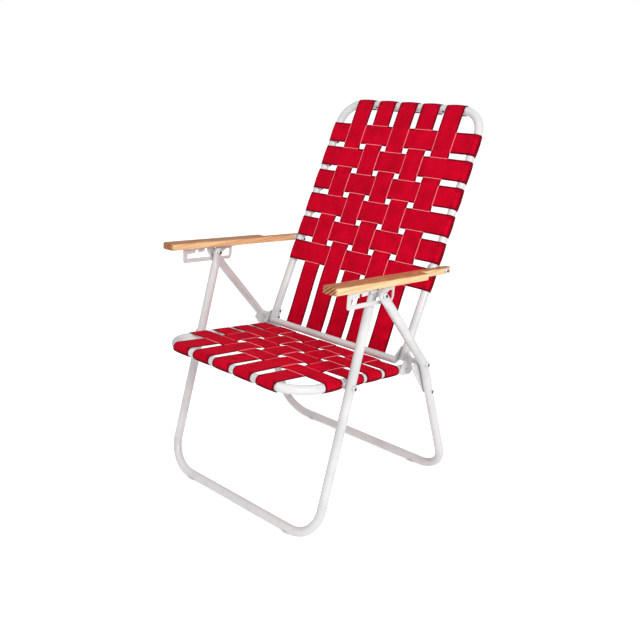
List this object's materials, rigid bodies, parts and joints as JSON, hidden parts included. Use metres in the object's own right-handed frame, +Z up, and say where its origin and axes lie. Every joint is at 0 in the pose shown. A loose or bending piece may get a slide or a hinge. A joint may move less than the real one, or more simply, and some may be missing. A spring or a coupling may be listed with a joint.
{
  "type": "folding webbed lawn chair",
  "caption": "Folding garden chair with woven webbing on bent tube frames, wooden arms and a slotted bracket that sets the recline.",
  "frame": {"origin": "on the floor under the middle of the chair's box at rest", "axes": "+Z up, the chair faces -Y, +X to the right of a viewer in front of it"},
  "size_m": [0.6194, 0.7166, 0.9587],
  "materials": {
    "white_paint": "gloss white powder coat on thin-walled tube",
    "webbing": "red woven flat webbing with raised selvage lines",
    "wood": "clear-varnished light wood",
    "steel": "plated rivets and bolts",
    "glide": "translucent plastic"
  },
  "bodies": {
    "seat": {"seat_frame_tube": "white_paint", "seat_rear_bar": "white_paint", "seat_web_long_1": "webbing", "seat_web_long_2": "webbing", "seat_web_long_3": "webbing", "seat_web_long_4": "webbing", "seat_web_long_5": "webbing", "seat_web_cross_1": "webbing", "seat_web_cross_2": "webbing", "seat_web_cross_3": "webbing", "seat_web_cross_4": "webbing", "hinge_plate_left": "white_paint", "hinge_plate_right": "white_paint", "hinge_plate_rivet_left": "steel", "hinge_plate_rivet_right": "steel", "hinge_spacer_left": "white_paint", "hinge_spacer_right": "white_paint", "seat_pivot_bolt_left": "steel", "seat_pivot_bolt_right": "steel"},
    "front_legs": {"front_leg_tube": "white_paint", "front_glide_left": "glide", "front_glide_right": "glide", "locking_pin_left": "steel", "locking_pin_right": "steel"},
    "rear_legs": {"rear_leg_tube": "white_paint", "rear_glide_left": "glide", "rear_glide_right": "glide", "rear_leg_strap_left": "steel", "rear_leg_strap_right": "steel", "rear_leg_strap_rivet_left": "steel", "rear_leg_strap_rivet_right": "steel", "rear_leg_top_rivet_left": "steel", "rear_leg_top_rivet_right": "steel"},
    "hinge_bolts": {"hinge_bolt_left": "steel", "hinge_bolt_right": "steel"},
    "back": {"back_frame_tube": "white_paint", "back_lower_bar": "white_paint", "back_web_long_1": "webbing", "back_web_long_2": "webbing", "back_web_long_3": "webbing", "back_web_long_4": "webbing", "back_web_long_5": "webbing", "back_web_cross_1": "webbing", "back_web_cross_2": "webbing", "back_web_cross_3": "webbing", "back_web_cross_4": "webbing", "back_web_cross_5": "webbing", "back_web_cross_6": "webbing", "back_bar_rivet_left": "steel", "back_bar_rivet_right": "steel"},
    "arm_bolt_left": {"arm_bolt_left": "steel"},
    "arm_bolt_right": {"arm_bolt_right": "steel"},
    "arm_left": {"arm_wood_left": "wood", "arm_bracket_left": "white_paint", "bracket_screw_front_left": "steel", "bracket_screw_rear_left": "steel"},
    "arm_right": {"arm_wood_right": "wood", "arm_bracket_right": "white_paint", "bracket_screw_front_right": "steel", "bracket_screw_rear_right": "steel"}
  },
  "joints": [
    {"name": "front_leg_pivot", "type": "hinge", "parent": "seat", "child": "front_legs", "pos_m": [0, -0.20017, 0.36602], "axis": [1, 0, 0], "range_deg": [0, 99.9]},
    {"name": "rear_leg_pivot", "type": "hinge", "parent": "seat", "child": "rear_legs", "pos_m": [0, 0.04491, 0.3609], "axis": [1, 0, 0], "range_deg": [0, 60]},
    {"name": "back_fold", "type": "hinge", "parent": "seat", "child": "hinge_bolts", "pos_m": [0, 0.04491, 0.3609], "axis": [1, 0, 0], "range_deg": [0, 100]},
    {"name": "back_recline", "type": "hinge", "parent": "hinge_bolts", "child": "back", "pos_m": [0, 0.04491, 0.3609], "axis": [-1, 0, 0], "range_deg": [0, 25]},
    {"name": "arm_fold_left", "type": "hinge", "parent": "back", "child": "arm_bolt_left", "pos_m": [0, 0.15393, 0.57303], "axis": [1, 0, 0], "range_deg": [-92.2, 0]},
    {"name": "arm_fold_right", "type": "hinge", "parent": "back", "child": "arm_bolt_right", "pos_m": [0, 0.15393, 0.57303], "axis": [1, 0, 0], "range_deg": [-92.2, 0]},
    {"name": "arm_recline_left", "type": "hinge", "parent": "arm_bolt_left", "child": "arm_left", "pos_m": [0, 0.15393, 0.57303], "axis": [1, 0, 0], "range_deg": [0, 15]},
    {"name": "arm_recline_right", "type": "hinge", "parent": "arm_bolt_right", "child": "arm_right", "pos_m": [0, 0.15393, 0.57303], "axis": [1, 0, 0], "range_deg": [0, 15]}
  ],
  "couplings": [
    {"joint": "front_leg_pivot", "follows": "back_fold", "ratio": 0.999},
    {"joint": "rear_leg_pivot", "follows": "back_fold", "ratio": 0.6},
    {"joint": "arm_fold_left", "follows": "back_fold", "ratio": -0.922},
    {"joint": "arm_fold_right", "follows": "back_fold", "ratio": -0.922},
    {"joint": "arm_recline_left", "follows": "back_recline", "ratio": 0.6},
    {"joint": "arm_recline_right", "follows": "back_recline", "ratio": 0.6}
  ]
}
